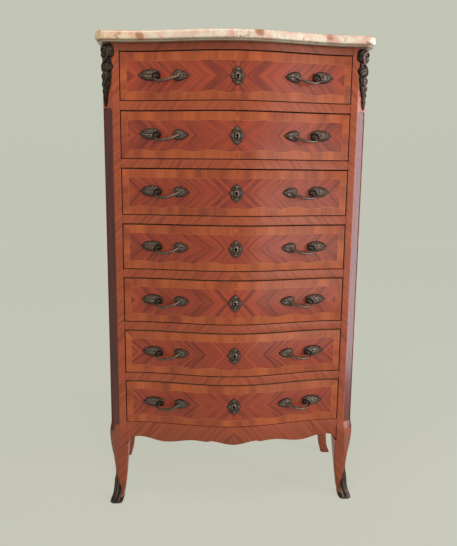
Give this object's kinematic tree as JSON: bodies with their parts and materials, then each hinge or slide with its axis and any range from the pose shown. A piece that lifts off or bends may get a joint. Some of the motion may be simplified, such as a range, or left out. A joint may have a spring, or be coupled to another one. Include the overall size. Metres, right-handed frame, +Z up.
{
  "type": "semainier",
  "caption": "Tall narrow chest of equal drawers with serpentine front, canted corners, cabriole legs, moulded marble top and bronze mounts.",
  "frame": {"origin": "on the floor, below the middle of the marble top's outline", "axes": "+X to the right seen from the front, +Y towards the back, +Z up; the drawers open towards -Y"},
  "size_m": [0.726, 0.38, 1.3038],
  "materials": {
    "marquetry_front": "kingwood and tulipwood marquetry under a gloss polish",
    "veneered_case": "rosewood and tulipwood veneer under a gloss polish",
    "oak": "planed oak, waxed",
    "breccia_marble": "polished pale breccia with pink and brown patches",
    "cast_bronze": "cast and chased bronze with a dark patina",
    "lock_steel": "filed steel"
  },
  "bodies": {
    "carcass": {"marble_top": "breccia_marble", "front_left_post": "veneered_case", "front_right_post": "veneered_case", "left_side": "veneered_case", "right_side": "veneered_case", "back_panel": "oak", "top_rail": "veneered_case", "front_apron": "veneered_case", "left_corner_mount": "cast_bronze", "right_corner_mount": "cast_bronze", "front_left_sabot": "cast_bronze", "front_right_sabot": "cast_bronze", "drawer_divider_1": "veneered_case", "drawer_divider_2": "veneered_case", "drawer_divider_3": "veneered_case", "drawer_divider_4": "veneered_case", "drawer_divider_5": "veneered_case", "drawer_divider_6": "veneered_case"},
    "drawer_1": {"drawer_1_front": "marquetry_front", "drawer_1_box": "oak", "drawer_1_left_pull": "cast_bronze", "drawer_1_right_pull": "cast_bronze", "drawer_1_escutcheon": "cast_bronze"},
    "drawer_1_bolt": {"drawer_1_lock_bolt": "lock_steel"},
    "drawer_2": {"drawer_2_front": "marquetry_front", "drawer_2_box": "oak", "drawer_2_left_pull": "cast_bronze", "drawer_2_right_pull": "cast_bronze", "drawer_2_escutcheon": "cast_bronze"},
    "drawer_2_bolt": {"drawer_2_lock_bolt": "lock_steel"},
    "drawer_3": {"drawer_3_front": "marquetry_front", "drawer_3_box": "oak", "drawer_3_left_pull": "cast_bronze", "drawer_3_right_pull": "cast_bronze", "drawer_3_escutcheon": "cast_bronze"},
    "drawer_3_bolt": {"drawer_3_lock_bolt": "lock_steel"},
    "drawer_4": {"drawer_4_front": "marquetry_front", "drawer_4_box": "oak", "drawer_4_left_pull": "cast_bronze", "drawer_4_right_pull": "cast_bronze", "drawer_4_escutcheon": "cast_bronze"},
    "drawer_4_bolt": {"drawer_4_lock_bolt": "lock_steel"},
    "drawer_5": {"drawer_5_front": "marquetry_front", "drawer_5_box": "oak", "drawer_5_left_pull": "cast_bronze", "drawer_5_right_pull": "cast_bronze", "drawer_5_escutcheon": "cast_bronze"},
    "drawer_5_bolt": {"drawer_5_lock_bolt": "lock_steel"},
    "drawer_6": {"drawer_6_front": "marquetry_front", "drawer_6_box": "oak", "drawer_6_left_pull": "cast_bronze", "drawer_6_right_pull": "cast_bronze", "drawer_6_escutcheon": "cast_bronze"},
    "drawer_6_bolt": {"drawer_6_lock_bolt": "lock_steel"},
    "drawer_7": {"drawer_7_front": "marquetry_front", "drawer_7_box": "oak", "drawer_7_left_pull": "cast_bronze", "drawer_7_right_pull": "cast_bronze", "drawer_7_escutcheon": "cast_bronze"},
    "drawer_7_bolt": {"drawer_7_lock_bolt": "lock_steel"}
  },
  "joints": [
    {"name": "drawer_1_slide", "type": "slide", "parent": "carcass", "child": "drawer_1", "axis": [0, -1, 0], "range_m": [0, 0.25]},
    {"name": "drawer_1_bolt_slide", "type": "slide", "parent": "drawer_1", "child": "drawer_1_bolt", "axis": [0, 0, 1], "range_m": [0, 0.007]},
    {"name": "drawer_2_slide", "type": "slide", "parent": "carcass", "child": "drawer_2", "axis": [0, -1, 0], "range_m": [0, 0.25]},
    {"name": "drawer_2_bolt_slide", "type": "slide", "parent": "drawer_2", "child": "drawer_2_bolt", "axis": [0, 0, 1], "range_m": [0, 0.007]},
    {"name": "drawer_3_slide", "type": "slide", "parent": "carcass", "child": "drawer_3", "axis": [0, -1, 0], "range_m": [0, 0.25]},
    {"name": "drawer_3_bolt_slide", "type": "slide", "parent": "drawer_3", "child": "drawer_3_bolt", "axis": [0, 0, 1], "range_m": [0, 0.007]},
    {"name": "drawer_4_slide", "type": "slide", "parent": "carcass", "child": "drawer_4", "axis": [0, -1, 0], "range_m": [0, 0.25]},
    {"name": "drawer_4_bolt_slide", "type": "slide", "parent": "drawer_4", "child": "drawer_4_bolt", "axis": [0, 0, 1], "range_m": [0, 0.007]},
    {"name": "drawer_5_slide", "type": "slide", "parent": "carcass", "child": "drawer_5", "axis": [0, -1, 0], "range_m": [0, 0.25]},
    {"name": "drawer_5_bolt_slide", "type": "slide", "parent": "drawer_5", "child": "drawer_5_bolt", "axis": [0, 0, 1], "range_m": [0, 0.007]},
    {"name": "drawer_6_slide", "type": "slide", "parent": "carcass", "child": "drawer_6", "axis": [0, -1, 0], "range_m": [0, 0.25]},
    {"name": "drawer_6_bolt_slide", "type": "slide", "parent": "drawer_6", "child": "drawer_6_bolt", "axis": [0, 0, 1], "range_m": [0, 0.007]},
    {"name": "drawer_7_slide", "type": "slide", "parent": "carcass", "child": "drawer_7", "axis": [0, -1, 0], "range_m": [0, 0.25]},
    {"name": "drawer_7_bolt_slide", "type": "slide", "parent": "drawer_7", "child": "drawer_7_bolt", "axis": [0, 0, 1], "range_m": [0, 0.007]}
  ]
}
